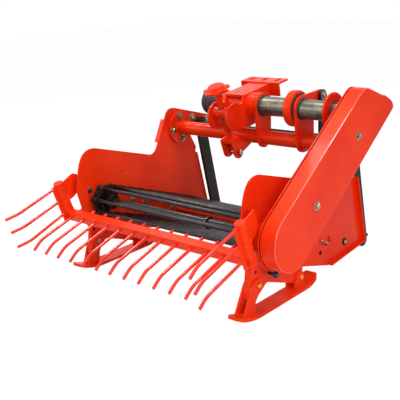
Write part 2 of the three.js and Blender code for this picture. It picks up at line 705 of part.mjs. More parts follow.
// Angle iron across the front of the box, its top leg slotted for the tractor's hitch bolts.
const angleRear = hitchFront + fitGap;
const angleTop = hitchTop + 4;
const slots = [-1, 0, 1].map((i) => {
  const x = hitchX + i * slotPitch;
  const middle = angleRear + 31;
  const reach = (slotLength - slotWidth) / 2;
  const shape = new THREE.Shape();
  shape.absarc(x, middle + reach, slotWidth / 2, 0, Math.PI, false);
  shape.absarc(x, middle - reach, slotWidth / 2, Math.PI, 2 * Math.PI, false);
  const slot = new THREE.ExtrudeGeometry(shape, { depth: 30, bevelEnabled: false, curveSegments: 8 });
  slot.translate(0, 0, angleTop - 20);
  return slot;
});
const angleX = [hitchX - angleWidth / 2, hitchX + angleWidth / 2];
add(hitch, 'hitch_flange', cut(
  joined(
    block(...angleX, angleRear, angleRear + angleLeg, angleTop - angleThickness, angleTop),
    block(...angleX, angleRear, angleRear + angleThickness, angleTop - 42, angleTop - 1),
  ),
  ...slots,
), redPaint);

// ---------------------------------------------------------------- depth screw
const screw = new THREE.Group();
screw.position.set(hitchX, trunnion.y, trunnion.z);
screw.rotation.x = screwTilt;
machine.add(screw);

function rodZ(radius, z0, z1, segments = 24) {
  const geometry = new THREE.CylinderGeometry(radius, radius, z1 - z0, segments);
  geometry.rotateX(Math.PI / 2);
  geometry.translate(0, 0, (z0 + z1) / 2);
  return geometry;
}
const trunnionHalf = hitchWidth / 2 - hitchPlate - 0.5;
add(screw, 'screw_trunnion', cut(
  joined(
    cylinderX(0, 0, trunnion.radius, -trunnionHalf, trunnionHalf, 28),
    cylinderX(0, 0, trunnion.pinRadius, -hitchWidth / 2, hitchWidth / 2, 20),
  ),
  rodZ(rodRadius + fitGap, -50, 50),
), redPaint);
const threadEnd = clevisTop + 12;
const neckFoot = trunnion.radius + 3;
const screwTop = handwheelBottom + 6;
add(screw, 'depth_screw',
  joined(rodZ(rodRadius, -trunnion.radius - 2, neckFoot - fitGap), rodZ(threadRadius, threadEnd, screwTop, 20)), zinc);

// A hand knob with seven lobes and a sloping crown, on a neck that sleeves the screw.
function wheelShape() {
  const shape = new THREE.Shape();
  const steps = 56;
  for (let i = 0; i < steps; i += 1) {
    const angle = (i / steps) * 2 * Math.PI;
    const r = handwheelRadius - 4 + 4 * Math.cos(7 * angle);
    if (i) shape.lineTo(r * Math.cos(angle), r * Math.sin(angle));
    else shape.moveTo(r, 0);
  }
  shape.closePath();
  return shape;
}
const rim = new THREE.ExtrudeGeometry(wheelShape(), { depth: handwheelRim, bevelEnabled: false });
rim.translate(0, 0, handwheelBottom);
const crownHeight = handwheelHeight - handwheelRim + 1;
const crown = new THREE.CylinderGeometry(handwheelRadius * 0.55, handwheelRadius - 9, crownHeight, 28);
crown.rotateX(Math.PI / 2);
crown.translate(0, 0, handwheelBottom + handwheelHeight - crownHeight / 2);
add(screw, 'handwheel', cut(
  joined(rim, crown, rodZ(neckRadius, neckFoot, handwheelBottom + 1)),
  rodZ(threadRadius + fitGap, 0, screwTop + fitGap, 20),
), redPaint);

// Sleeve and clevis that the thread draws up and down, and the pin through its eye.
const clevisHalf = anchorWidth / 2 + 1 + clevisWall;
const clevisLeg = linkShape({ y: 0, z: -pinDistance }, clevisDepth / 2, { y: 0, z: clevisTop - 17 }, clevisDepth / 2);
add(screw, 'screw_clevis', cut(
  joined(
    rodZ(sleeveRadius, clevisTop - 2, sleeveTop),
    block(-clevisHalf, clevisHalf, -clevisDepth / 2, clevisDepth / 2, clevisTop - clevisWall - 2, clevisTop),
    block(-clevisHalf, -clevisHalf + clevisWall, -clevisDepth / 2, clevisDepth / 2, -pinDistance, clevisTop),
    block(clevisHalf - clevisWall, clevisHalf, -clevisDepth / 2, clevisDepth / 2, -pinDistance, clevisTop),
    plate(clevisLeg, -clevisHalf, -clevisHalf + clevisWall),
    plate(clevisLeg, clevisHalf - clevisWall, clevisHalf),
  ),
  rodZ(threadRadius + fitGap, clevisTop - 20, sleeveTop + 5, 20),
  cylinderX(0, -pinDistance, anchorPin.radius + pinDrift, -clevisHalf - 5, clevisHalf + 5, 24),
), redPaint);

const anchorInner = anchorWidth / 2 - 5;
const pinEnd = clevisHalf + 3;
add(machine, 'clevis_pin', joined(
  cylinderX(anchorPin.y, anchorPin.z, anchorPin.radius, hitchX - pinEnd, hitchX + pinEnd, 20),
  cylinderX(anchorPin.y, anchorPin.z, 9, hitchX + pinEnd - 0.5, hitchX + pinEnd + 6, 6),
  cylinderX(anchorPin.y, anchorPin.z, 9, hitchX - pinEnd - 6, hitchX - pinEnd + 0.5, 6),
), zinc);

// Channel arm welded to the cross tube, which the clevis pin passes through.
const anchorShape = linkShape(anchorPin, 15, { y: crossTube.y + 2, z: crossTube.z - 14 }, 17);
add(machine, 'screw_anchor_arm', cut(
  solid(plate(anchorShape, hitchX - anchorWidth / 2, hitchX + anchorWidth / 2)),
  cylinderX(crossTube.y, crossTube.z, crossTube.radius + fitGap, hitchX - 60, hitchX + 60),
  block(hitchX - anchorInner, hitchX + anchorInner, anchorPin.y - 30, crossTube.y - 14,
    anchorPin.z - 60, anchorPin.z + 9),
  cylinderX(anchorPin.y, anchorPin.z, anchorPin.radius + fitGap, hitchX - 60, hitchX + 60, 20),
), redPaint);

// ---------------------------------------------------------------- centre it over its footprint
machine.updateMatrixWorld(true);
const box = new THREE.Box3().setFromObject(machine, true);
machine.position.set(-(box.min.x + box.max.x) / 2, -(box.min.y + box.max.y) / 2, -box.min.z);

export default machine;
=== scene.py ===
"""A rear-mounted potato harvester for a walking tractor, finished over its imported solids.

Metres, +Z up, +Y forward towards the hitch, +X the machine's right, where the chain case is.
"""
import math

import bmesh
import bpy
from mathutils import Matrix, Vector


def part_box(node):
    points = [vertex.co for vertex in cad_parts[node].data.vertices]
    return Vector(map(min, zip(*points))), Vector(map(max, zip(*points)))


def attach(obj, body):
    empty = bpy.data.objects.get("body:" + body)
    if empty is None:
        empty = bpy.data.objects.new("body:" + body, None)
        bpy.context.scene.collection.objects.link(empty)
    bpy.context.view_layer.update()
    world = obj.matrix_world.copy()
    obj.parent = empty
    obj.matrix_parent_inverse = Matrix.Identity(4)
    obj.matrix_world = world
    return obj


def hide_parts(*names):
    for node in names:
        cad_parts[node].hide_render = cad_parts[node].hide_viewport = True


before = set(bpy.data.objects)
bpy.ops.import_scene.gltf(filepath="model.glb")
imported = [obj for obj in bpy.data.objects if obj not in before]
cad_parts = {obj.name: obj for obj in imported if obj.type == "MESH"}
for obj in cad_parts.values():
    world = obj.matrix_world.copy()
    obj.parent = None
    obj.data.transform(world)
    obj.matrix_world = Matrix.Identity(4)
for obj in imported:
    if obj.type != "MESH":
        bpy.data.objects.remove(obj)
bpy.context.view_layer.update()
scene = bpy.context.scene

# ---------------------------------------------------------------------------------------
# Side panels: 4 mm sheet steel, laser cut and folded outward along the front edge, then
# sprayed in a glossy orange-red enamel. Every cut edge comes out slightly rounded by the
# paint. Small holes and the take-up slots go through them.
cross_low, cross_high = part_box("cross_tube")
drive_low, drive_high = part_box("drive_tube")
machine_middle = (cross_low.x + cross_high.x) / 2
drive_y = (drive_low.y + drive_high.y) / 2
drive_z = (drive_low.z + drive_high.z) / 2
RIGHT, UP = Vector((1, 0, 0)), Vector((0, 0, 1))


def spot(across, ahead, up):
    """A place in millimetres: right of the middle, ahead of the drive shaft, above ground."""
    return Vector((machine_middle + across / 1000, drive_y + ahead / 1000, up / 1000))


def new_finish(name):
    """A new finish with its node tree, its shader and the place on the piece."""
    material = bpy.data.materials.new(name)
    material.use_nodes = True
    tree = material.node_tree
    place = tree.nodes.new("ShaderNodeTexCoord").outputs["Object"]
    return material, tree, tree.nodes["Principled BSDF"], place


def mottle(tree, place, scale, detail=2.0):
    """An uneven 0 to 1 pattern over the piece, with about scale blotches to the metre."""
    blotches = tree.nodes.new("ShaderNodeTexNoise")
    blotches.inputs["Scale"].default_value = scale
    blotches.inputs["Detail"].default_value = detail
    tree.links.new(place, blotches.inputs["Vector"])
    return blotches.outputs["Fac"]


def shaded(tree, value, low, high, *between):
    """Turns a value into colour through (position, colour) stops."""
    ramp = tree.nodes.new("ShaderNodeValToRGB")
    for stop, (position, colour) in zip(ramp.color_ramp.elements, (low, high)):
        stop.position = position
        stop.color = (*colour, 1)
    for position, colour in between:
        ramp.color_ramp.elements.new(position).color = (*colour, 1)
    tree.links.new(value, ramp.inputs["Fac"])
    return ramp.outputs["Color"]


def stretched(tree, value, low, high, start=0.0, end=1.0):
    """Carries a value that runs from start to end over to low to high."""
    reach = tree.nodes.new("ShaderNodeMapRange")
    for limit, size in (("From Min", start), ("From Max", end), ("To Min", low), ("To Max", high)):
        reach.inputs[limit].default_value = size
    tree.links.new(value, reach.inputs["Value"])
    return reach.outputs["Result"]


def roughened(tree, shader, height, strength, depth):
    """Raises the surface by a height pattern, depth metres at most."""
    bump = tree.nodes.new("ShaderNodeBump")
    bump.inputs["Strength"].default_value = strength
    bump.inputs["Distance"].default_value = depth
    tree.links.new(height, bump.inputs["Height"])
    tree.links.new(bump.outputs["Normal"], shader.inputs["Normal"])


def enamel(name, colour, thin_coat, roughness, coat, shine=0.12):
    """Sprayed paint: colour drifting a little with film thickness, and faint orange peel."""
    material, tree, shader, place = new_finish(name)
    shader.inputs["Coat Weight"].default_value = coat
    shader.inputs["Coat Roughness"].default_value = 0.05
    shader.inputs["Specular IOR Level"].default_value = shine
    shader.inputs["Specular Tint"].default_value = (1.0, 0.62, 0.36, 1)
    film = mottle(tree, place, 5.0, 4.0)
    tree.links.new(shaded(tree, film, (0.32, thin_coat), (0.62, colour)), shader.inputs["Base Color"])
    tree.links.new(stretched(tree, film, roughness - 0.05, roughness + 0.06), shader.inputs["Roughness"])
    roughened(tree, shader, mottle(tree, place, 420.0), 0.05, 0.0004)
    return material


red_enamel = enamel("red enamel", (0.90, 0.040, 0.0045), (0.78, 0.022, 0.0035), 0.24, 0.07)


def piece_from(work, name, finish, slot, body, *stands_for, crease=35):
    """Takes a worked mesh off the bench: shades it, paints it and hangs it on its body."""
    bmesh.ops.recalc_face_normals(work, faces=work.faces)
    mesh = bpy.data.meshes.new(name)
    work.to_mesh(mesh)
    work.free()
    mesh.polygons.foreach_set("use_smooth", [True] * len(mesh.polygons))
    mesh.set_sharp_from_angle(angle=math.radians(crease))
    mesh.materials.append(finish)
    piece = bpy.data.objects.new(name, mesh)
    scene.collection.objects.link(piece)
    even = piece.modifiers.new("even light", "WEIGHTED_NORMAL")
    even.keep_sharp = True
    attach(piece, body)
    if stands_for:
        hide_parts(*stands_for)
    return piece


def eased(node, radius, steps):
    """The cut solid with its corners rounded over by that radius."""
    sharpest_left = math.radians(34)
    work = bmesh.new()
    work.from_mesh(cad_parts[node].data)
    bmesh.ops.remove_doubles(work, verts=work.verts, dist=2e-6)
    bmesh.ops.dissolve_limit(work, angle_limit=math.radians(0.5), verts=work.verts, edges=work.edges)
    # the wide outlines with holes in them only shade cleanly once they are split up
    bmesh.ops.connect_verts_concave(work, faces=work.faces)
    corners = [edge for edge in work.edges
               if len(edge.link_faces) == 2 and edge.calc_face_angle() > sharpest_left]
    bmesh.ops.bevel(work, geom=corners, offset=radius, segments=steps, profile=0.5,
                    affect="EDGES", clamp_overlap=True)
    return work


def cut_piece(node, name, radius, finish=red_enamel, slot="red_paint", body="frame", steps=3):
    """Hangs a cut solid in its place, with its corners rounded over by that radius."""
    piece_from(eased(node, radius, steps), name, finish, slot, body, node)


for hand in ("left", "right"):
    cut_piece(f"side_panel_{hand}", f"panel_{hand}", 0.0009)
    cut_piece(f"take_up_plate_{hand}", f"take_up_slide_{hand}", 0.0008)
cut_piece("cross_tie", "tie_bar", 0.0010)

# ---------------------------------------------------------------------------------------
# Bolts in the side panels: zinc-plated hex heads with a yellow or pale passivated film on
# round washers, and the dark punched holes that the panels carry unused.


def plating(name, colour, stain, roughness):
    """Plated steel: a metal film, clouded where the passivation took unevenly."""
    material, tree, shader, place = new_finish(name)
    shader.inputs["Metallic"].default_value = 0.9
    cloud = mottle(tree, place, 160.0, 5.0)
    tree.links.new(shaded(tree, cloud, (0.36, stain), (0.60, colour)), shader.inputs["Base Color"])
    tree.links.new(stretched(tree, cloud, roughness - 0.06, roughness + 0.12), shader.inputs["Roughness"])
    return material


pale_zinc = plating("pale zinc", (0.52, 0.47, 0.34), (0.20, 0.16, 0.09), 0.20)
dull_zinc = plating("dull zinc", (0.36, 0.32, 0.18), (0.12, 0.09, 0.035), 0.22)
yellow_zinc = plating("yellow zinc", (0.95, 0.62, 0.12), (0.70, 0.36, 0.05), 0.30)


def turn(work, profile, place, direction, around, start=0.0, closed=False):
    """Turns (radius, distance) pairs about a line from place along direction."""
    aim = Matrix.Translation(place) @ direction.to_track_quat("Z", "Y").to_matrix().to_4x4()
    rings = []
    for radius, along in profile:
        count = around if radius > 1e-7 else 1
        rings.append([work.verts.new(aim @ Vector((radius * math.cos(start + math.tau * i / around),
                                                   radius * math.sin(start + math.tau * i / around),
                                                   along))) for i in range(count)])
    if closed:
        rings.append(rings[0])
    for near, far in zip(rings, rings[1:]):
        for i in range(around):
            j = (i + 1) % around
            corners = [near[i % len(near)], near[j % len(near)], far[j % len(far)], far[i % len(far)]]
            work.faces.new(list(dict.fromkeys(corners)))


def hex_bolt(work, place, direction, across, twist=0.3, washer=True):
    """A chamfered hex head on its flat washer, seated at place and looking along direction."""
    if washer:
        rim = across * 0.86
        turn(work, [(0, -0.0004), (rim, -0.0004), (rim, 0.0010), (across * 0.80, 0.0016), (0, 0.0016)],
             place, direction, 24)
    corner, head = across / math.sqrt(3), across * 0.46
    seat = 0.0012 if washer else -0.0002
    turn(work, [(0, seat), (corner, seat), (corner, seat + head * 0.78), (corner * 0.84, seat + head),
                (0, seat + head)], place, direction, 6, twist)


def punched_hole(work, place, direction, radius):
    """A dark through hole, seen as its shadowed floor a hair proud of the sheet."""
    turn(work, [(0, 0.0002), (radius * 0.9, 0.0002), (radius, 0.0000), (radius, -0.0006), (0, -0.0006)],
         place, direction, 20)


PANEL_IN, PANEL_OUT = 300, 304       # the faces of either panel, from the middle
bolts = bmesh.new()
for side in (-1, 1):
    inward = Vector((-side, 0, 0))
    for ahead, up in ((68, 365), (136, 348)):
        hex_bolt(bolts, spot(side * PANEL_IN, ahead, up), inward, 0.014)
    for ahead, up in ((-229, 158), (-176, 138)):
        hex_bolt(bolts, spot(side * PANEL_IN, ahead, up), inward, 0.012)
    hex_bolt(bolts, spot(side * PANEL_OUT, 27, 57), -inward, 0.012, washer=False)
    hex_bolt(bolts, spot(side * PANEL_OUT, -390, 163), -inward, 0.011, washer=False)
    # the take-up bolt lies in the slot along the slide, its head against the slot's front end
    hex_bolt(bolts, spot(side * (PANEL_IN - 4.4), -60, 88), inward, 0.012)
    slide_end, slide_way = spot(side * (PANEL_IN + 2.2), -97, 99), Vector((0, 0.872, -0.489))
    thread = 0.040
    turn(bolts, [(0, 0), (0.0030, 0), (0.0034, 0.0004), (0.0034, thread), (0, thread)],
         slide_end, slide_way, 16)
    hex_bolt(bolts, slide_end + slide_way * thread, slide_way, 0.0078, washer=False)
piece_from(bolts, "panel_bolts", pale_zinc, "zinc_plate", "frame")
blued = bmesh.new()
# a long stud stands out from the right skid bracket, under the chain case
turn(blued, [(0, 0), (0.0040, 0), (0.0040, 0.0230), (0, 0.0230)], spot(310, -347, 92), RIGHT, 16)
hex_bolt(blued, spot(331, -347, 92), RIGHT, 0.0125)
for side in (-1, 1):
    hex_bolt(blued, spot(side * PANEL_IN, -396, 229), Vector((-side, 0, 0)), 0.0095)
blued_steel = plating("blued bolt", (0.10, 0.12, 0.17), (0.030, 0.034, 0.050), 0.30)
piece_from(blued, "blued_bolts", blued_steel, "dark_steel", "frame")

shadow_black = enamel("unlit hole", (0.012, 0.010, 0.010), (0.008, 0.007, 0.007), 0.8, 0.0, 0.05)
holes = bmesh.new()
for side in (-1, 1):
    for face, facing in ((PANEL_IN, -side), (PANEL_OUT, side)):
        for ahead, up, radius in ((-265, 258, 2.6), (-143, 177, 2.6), (-40, 79, 2.2), (-100, 63, 6.6)):
            punched_hole(holes, spot(side * face, ahead, up), Vector((facing, 0, 0)), radius / 1000)
piece_from(holes, "panel_holes", shadow_black, "black_paint", "frame")

# ---------------------------------------------------------------------------------------
# Cross tube: a 43 mm tube between round flanges, each held to its panel by four bolts. The
# welds where tube meets flange are left as rippled beads under the paint.
CROSS = (2.5, 344.5)                 # ahead of the drive shaft, above ground
CROSS_RADIUS = 0.0215
turned_tube = bmesh.new()
tube_length = cross_high.x - cross_low.x
tube_middle = spot(0, *CROSS)
turn(turned_tube, [(0, 0), (CROSS_RADIUS, 0), (CROSS_RADIUS, tube_length), (0, tube_length)],
     Vector((cross_low.x, tube_middle.y, tube_middle.z)), RIGHT, 64)
piece_from(turned_tube, "cross_tube_drawn", red_enamel, "red_paint", "frame", "cross_tube")
for hand in ("left", "right"):
    cut_piece(f"cross_tube_flange_{hand}", f"tube_flange_{hand}", 0.0012, steps=2)


def run_along(work, path, radii, around, closed=False):
    """A round section carried along a path, one radius for each point."""
    count = len(path)
    ahead = []
    for i in range(count):
        before = path[i - 1] if closed or i else path[i]
        after = path[(i + 1) % count] if closed or i < count - 1 else path[i]
        ahead.append((after - before).normalized())
    side = ahead[0].orthogonal().normalized()
    rings = []
    for point, direction, radius in zip(path, ahead, radii):
        side = (side - direction * side.dot(direction)).normalized()
        other = direction.cross(side)
        rings.append([work.verts.new(point + (side * math.cos(math.tau * k / around)
                                              + other * math.sin(math.tau * k / around)) * radius)
                      for k in range(around)])
    pairs = list(zip(rings, rings[1:]))
    if closed:
        # the section may have rolled on its way round, so the last join takes the nearest start
        shift = min(range(around), key=lambda k: (rings[-1][0].co - rings[0][k].co).length)
        pairs.append((rings[-1], rings[0][shift:] + rings[0][:shift]))
    for near, far in pairs:
        for k in range(around):
            j = (k + 1) % around
            work.faces.new([near[k], near[j], far[j], far[k]])
    if not closed:
        work.faces.new(rings[0])
        work.faces.new(rings[-1])


def weld_bead(work, path, radius, closed=False):
    """A weld run: overlapping puddles, so its section swells and narrows every few mm."""
    fine = []
    ends = list(zip(path, path[1:] + path[:1])) if closed else list(zip(path, path[1:]))
    for a, b in ends:
        steps = max(1, round((b - a).length / (radius * 0.45)))
        fine += [a.lerp(b, k / steps) for k in range(steps)]
    if not closed:
        fine.append(path[-1])
    radii = [radius * (0.86 + 0.22 * abs(math.sin(k * 0.78)) + 0.06 * math.sin(k * 2.3))
             for k in range(len(fine))]
    run_along(work, fine, radii, 8, closed)


def hoop(place, direction, radius, count=36):
    """Points round a circle that faces along direction."""
    turn_to = direction.to_track_quat("Z", "Y").to_matrix()
    return [place + turn_to @ Vector((radius * math.cos(math.tau * k / count),
                                      radius * math.sin(math.tau * k / count), 0)) for k in range(count)]


FLANGE_FACE = 291.5                  # either side of the machine's middle
bolts, welds = bmesh.new(), bmesh.new()
for side in (-1, 1):
    inward = Vector((-side, 0, 0))
    for ahead, up in ((-2, 382), (-35, 340), (7, 307), (40, 349)):
        hex_bolt(bolts, spot(side * FLANGE_FACE, ahead, up), inward, 0.014, ahead)
    foot = spot(side * (FLANGE_FACE - 0.5), *CROSS)
    weld_bead(welds, hoop(foot, RIGHT, CROSS_RADIUS + 0.0008), 0.0028, closed=True)
piece_from(bolts, "tube_flange_bolts", dull_zinc, "zinc_plate", "frame")

# ---------------------------------------------------------------------------------------
# Hanger plates: 8 mm flat plates welded to the cross tube, which carry the drive tube over
# it. The right-hand one reaches forward to the stay link. A rubber ring seals the tube at
# the right face of each.
HANGERS = {"left": 46, "right": 184}
for hand, across in HANGERS.items():
    cut_piece(f"hanger_plate_{hand}", f"hanger_{hand}", 0.0011)
    for face in (across - 4.4, across + 4.4):
        weld_bead(welds, hoop(spot(face, *CROSS), RIGHT, CROSS_RADIUS + 0.0012), 0.0034, closed=True)
piece_from(welds, "tube_welds", red_enamel, "red_paint", "frame", crease=60)


def rubber_like(name, colour, roughness):
    """Moulded rubber: matt, dusted a little greyer in patches, with a fine grain."""
    material, tree, shader, place = new_finish(name)
    shader.inputs["Specular IOR Level"].default_value = 0.4
    shader.inputs["Roughness"].default_value = roughness
    dusty = [min(1, 2.2 * c + 0.01) for c in colour]
    dust = shaded(tree, mottle(tree, place, 26.0, 6.0), (0.40, colour), (0.80, dusty))
    tree.links.new(dust, shader.inputs["Base Color"])
    roughened(tree, shader, mottle(tree, place, 700.0), 0.12, 0.0003)
    return material


black_rubber = rubber_like("black rubber", (0.018, 0.018, 0.020), 0.5)
SEAL_BORE = 0.0281
seals = bmesh.new()
for across in HANGERS.values():
    turn(seals, [(SEAL_BORE, 0), (0.0318, 0), (0.0322, 0.0012), (0.0311, 0.0030), (SEAL_BORE, 0.0034)],
         spot(across + 4.1, 0, drive_z * 1000), RIGHT, 56, closed=True)
# a wider, flat one lies between the collar and the right-hand hanger
turn(seals, [(SEAL_BORE, 0), (0.0440, 0), (0.0440, 0.0031), (SEAL_BORE, 0.0031)],
     spot(176.7, 0, drive_z * 1000), RIGHT, 56, closed=True)
piece_from(seals, "tube_seals", black_rubber, "black_rubber", "frame")

# ---------------------------------------------------------------------------------------
# Drive tube: bare drawn steel tube under a mottled, greenish zinc film, with the fine marks
# of drawing running round it. A heavy collar and a thin disc are fitted on it, both painted.


def drawn_tube_steel():
    """Zinc over drawn tube: blotches of yellow-green film and faint rings round the tube."""
    material, tree, shader, place = new_finish("drawn tube zinc")
    shader.inputs["Metallic"].default_value = 0.85
    stretch = tree.nodes.new("ShaderNodeMapping")
    stretch.inputs["Scale"].default_value = (120.0, 16.0, 16.0)
    tree.links.new(place, stretch.inputs["Vector"])
    rings = mottle(tree, stretch.outputs["Vector"], 1.0, 3.0)
    blotch = mottle(tree, place, 34.0, 7.0)
    both = tree.nodes.new("ShaderNodeMath")
    both.operation = "MULTIPLY_ADD"
    both.inputs[1].default_value = 0.20
    tree.links.new(rings, both.inputs[0])
    most = tree.nodes.new("ShaderNodeMath")
    most.operation = "MULTIPLY"
    most.inputs[1].default_value = 0.80
    tree.links.new(blotch, most.inputs[0])
    tree.links.new(most.outputs["Value"], both.inputs[2])
    film = both.outputs["Value"]
    tree.links.new(shaded(tree, film, (0.36, (0.075, 0.064, 0.044)), (0.60, (0.22, 0.205, 0.165))),
                   shader.inputs["Base Color"])
    tree.links.new(stretched(tree, film, 0.20, 0.40), shader.inputs["Roughness"])
    return material


tube_zinc = drawn_tube_steel()
drawn = bmesh.new()
drive_length = drive_high.x - drive_low.x
turn(drawn, [(0.0133, 0), (0.0272, 0), (0.0280, 0.0008), (0.0280, drive_length - 0.0008),
             (0.0272, drive_length), (0.0133, drive_length)],
     Vector((drive_low.x, drive_y, drive_z)), RIGHT, 72, closed=True)
piece_from(drawn, "drive_tube_drawn", tube_zinc, "zinc_plate", "frame", "drive_tube")


def fitted_ring(name, node, bore, edge):
    """A turned ring on the drive tube, its outer corners rounded by edge."""
    low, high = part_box(node)
    outer, width = (high.z - low.z) / 2, high.x - low.x
    flat, turns = outer - edge, [a * math.pi / 8 for a in range(5)]
    profile = [(bore, 0)]
    profile += [(flat + edge * math.sin(a), edge - edge * math.cos(a)) for a in turns]
    profile += [(flat + edge * math.cos(a), width - edge + edge * math.sin(a)) for a in turns]
    profile += [(bore, width)]
    work = bmesh.new()
    turn(work, profile, Vector((low.x, drive_y, drive_z)), RIGHT, 72, closed=True)
    piece_from(work, name, red_enamel, "red_paint", "frame", node)


fitted_ring("collar_turned", "bearing_collar", 0.0282, 0.0050)
fitted_ring("disc_turned", "end_disc", 0.0282, 0.0024)

# ---------------------------------------------------------------------------------------
# Input end: a plain steel shaft end in a boot of black rubber. The boot is moulded in four
# soft folds and grips the end of the drive tube.
shaft_low, shaft_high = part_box("drive_shaft")
bar = bmesh.new()
shaft_length = shaft_high.x - shaft_low.x
turn(bar, [(0, 0), (0.0042, 0), (0.0050, 0.0012), (0.0112, 0.0012), (0.0125, 0.0026),
           (0.0125, shaft_length), (0, shaft_length)],
     Vector((shaft_low.x, drive_y, drive_z)), RIGHT, 48)
piece_from(bar, "drive_shaft_turned", tube_zinc, "zinc_plate", "shaft", "drive_shaft")

boot_low, boot_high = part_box("input_boot")
boot_length = boot_high.x - boot_low.x
BOOT_FOLDS, BOOT_STEPS = 4, 60
ribs = bmesh.new()
outer_wall, inner_wall = [], []
for step in range(BOOT_STEPS + 1):
    along = boot_length * step / BOOT_STEPS
    swell = 0.5 - 0.5 * math.cos(math.tau * BOOT_FOLDS * step / BOOT_STEPS)
    outer_wall.append((0.0345 + 0.0052 * math.sqrt(swell), along))
    # the boot grips the tube over its last stretch and stands clear of the shaft before it
    inner_wall.append((0.0283 if along > 0.0655 else 0.0306, along))
turn(ribs, outer_wall + inner_wall[::-1], Vector((boot_low.x, drive_y, drive_z)), RIGHT, 56, closed=True)
piece_from(ribs, "boot_moulded", black_rubber, "black_rubber", "frame", "input_boot", crease=60)

# ---------------------------------------------------------------------------------------
# Chain case: a pressed sheet housing in two halves. The back half shows as a narrow lip with
# a shaded joint, and the cover's face meets its wall in a small rounded crease, where the
# paint ran thick and shines.
case_low, case_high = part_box("chain_case")


def face_outline(node, across):
    """The corners of a solid's flat face at that distance across, in order round it."""
    work = bmesh.new()
    work.from_mesh(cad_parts[node].data)
    bmesh.ops.remove_doubles(work, verts=work.verts, dist=2e-6)
    flat = [face for face in work.faces if all(abs(v.co.x - across) < 2e-5 for v in face.verts)]
    shared = {}
    for face in flat:
        for edge in face.edges:
            shared[edge] = shared.get(edge, 0) + 1
    border = {edge for edge, faces in shared.items() if faces == 1}
    edge = next(edge for edge in shared if edge in border)
    here, corners = edge.verts[0], []
    while border:
        corners.append(Vector((here.co.y, here.co.z)))
        edge = next((e for e in here.link_edges if e in border), None)
        if edge is None:
            break
        border.discard(edge)
        here = edge.other_vert(here)
    work.free()
    return corners


def drawn_in(outline, depth):
    """The outline moved inward by depth, square to its edges."""
    count = len(outline)
    area = sum(a.x * b.y - b.x * a.y for a, b in zip(outline, outline[1:] + outline[:1]))
    turn_in = 1 if area > 0 else -1
    moved = []
    for i, here in enumerate(outline):
        before = (here - outline[i - 1]).normalized()
        after = (outline[(i + 1) % count] - here).normalized()
        side_a = Vector((-before.y, before.x)) * turn_in
        side_b = Vector((-after.y, after.x)) * turn_in
        mitre = (side_a + side_b).normalized()
        moved.append(here + mitre * depth / max(0.6, mitre.dot(side_a)))
    return moved


def skinned(work, rings, second=(), third=()):
    """Closes a body over rings of corners. Some bands between rings take another finish."""
    for band, (near, far) in enumerate(zip(rings, rings[1:])):
        for i in range(len(near)):
            j = (i + 1) % len(near)
            face = work.faces.new([near[i], near[j], far[j], far[i]])
            face.material_index = 1 if band in second else 2 if band in third else 0
    work.faces.new(rings[0])
    work.faces.new(rings[-1])


case_outline = face_outline("chain_case", case_high.x)
back, front = case_low.x, case_high.x
crease_radius, cover_inset = 0.0024, 0.0010
# pairs of inset and distance across: the lip of the back half, the joint, then the cover
case_steps = [(0.0002, back), (0.0, back + 0.0003), (0.0, back + 0.0036), (0.0003, back + 0.0039),
              (0.0030, back + 0.0040), (0.0030, back + 0.0056), (0.0014, back + 0.0058),
              (cover_inset, back + 0.0062)]
case_steps += [(cover_inset + crease_radius * (1 - math.cos(a * math.pi / 16)),
                front - crease_radius + crease_radius * math.sin(a * math.pi / 16)) for a in range(9)]
joint_bands, crease_bands = (3, 4, 5), range(8, 15)
housing = bmesh.new()
housing_rings = [[housing.verts.new(Vector((across, p.x, p.y))) for p in drawn_in(case_outline, depth)]
                 for depth, across in case_steps]
skinned(housing, housing_rings, joint_bands, crease_bands)
housing_piece = piece_from(housing, "chain_case_pressed", red_enamel, "red_paint", "frame", "chain_case",
                           crease=28)
joint_shade = enamel("shaded joint", (0.16, 0.008, 0.002), (0.10, 0.005, 0.002), 0.5, 0.0, 0.05)
housing_piece.data.materials.append(joint_shade)
thick_enamel = enamel("thick enamel", (0.86, 0.032, 0.006), (0.74, 0.020, 0.004), 0.24, 1.0)
thick_enamel.node_tree.nodes["Principled BSDF"].inputs["Coat IOR"].default_value = 1.8
housing_piece.data.materials.append(thick_enamel)

CASE_FOOT_AHEAD, CASE_FOOT_UP = -360, 195       # the middle of its lower round end
CASE_RISE, CASE_RUN = 244, 360                  # the slope of its long sides
case_tilt = math.atan2(CASE_RISE, CASE_RUN)
cover_bolts = bmesh.new()
for reach in (361, 119):
    drop = -5
    ahead = CASE_FOOT_AHEAD + reach * math.cos(case_tilt) - drop * math.sin(case_tilt)
    up = CASE_FOOT_UP + reach * math.sin(case_tilt) + drop * math.cos(case_tilt)
    hex_bolt(cover_bolts, spot(397.8, ahead, up), RIGHT, 0.014, 0.5)
piece_from(cover_bolts, "cover_bolts", pale_zinc, "zinc_plate", "frame")

# ---------------------------------------------------------------------------------------
# Rear shaft: a dark oily shaft tube across the machine in plain flanged bearings, with a hub
# and a six-tooth sprocket at each end to pull the web. The idler in front is alike, with
# plain rollers instead.


def oily_steel():
    """Bare steel under oil and soil: near black, browner where rust has started."""
    material, tree, shader, place = new_finish("oily steel")
    shader.inputs["Metallic"].default_value = 0.30
    shader.inputs["Specular IOR Level"].default_value = 0.15
    shader.inputs["Coat Weight"].default_value = 0.25
    shader.inputs["Coat Roughness"].default_value = 0.10
    grime = mottle(tree, place, 48.0, 8.0)
    oil, soil, rust = (0.007, 0.005, 0.005), (0.018, 0.013, 0.013), (0.12, 0.062, 0.050)
    tree.links.new(shaded(tree, grime, (0.34, oil), (0.78, rust), (0.60, soil)),
                   shader.inputs["Base Color"])
    tree.links.new(stretched(tree, grime, 0.16, 0.52), shader.inputs["Roughness"])
    roughened(tree, shader, grime, 0.35, 0.0006)
    return material


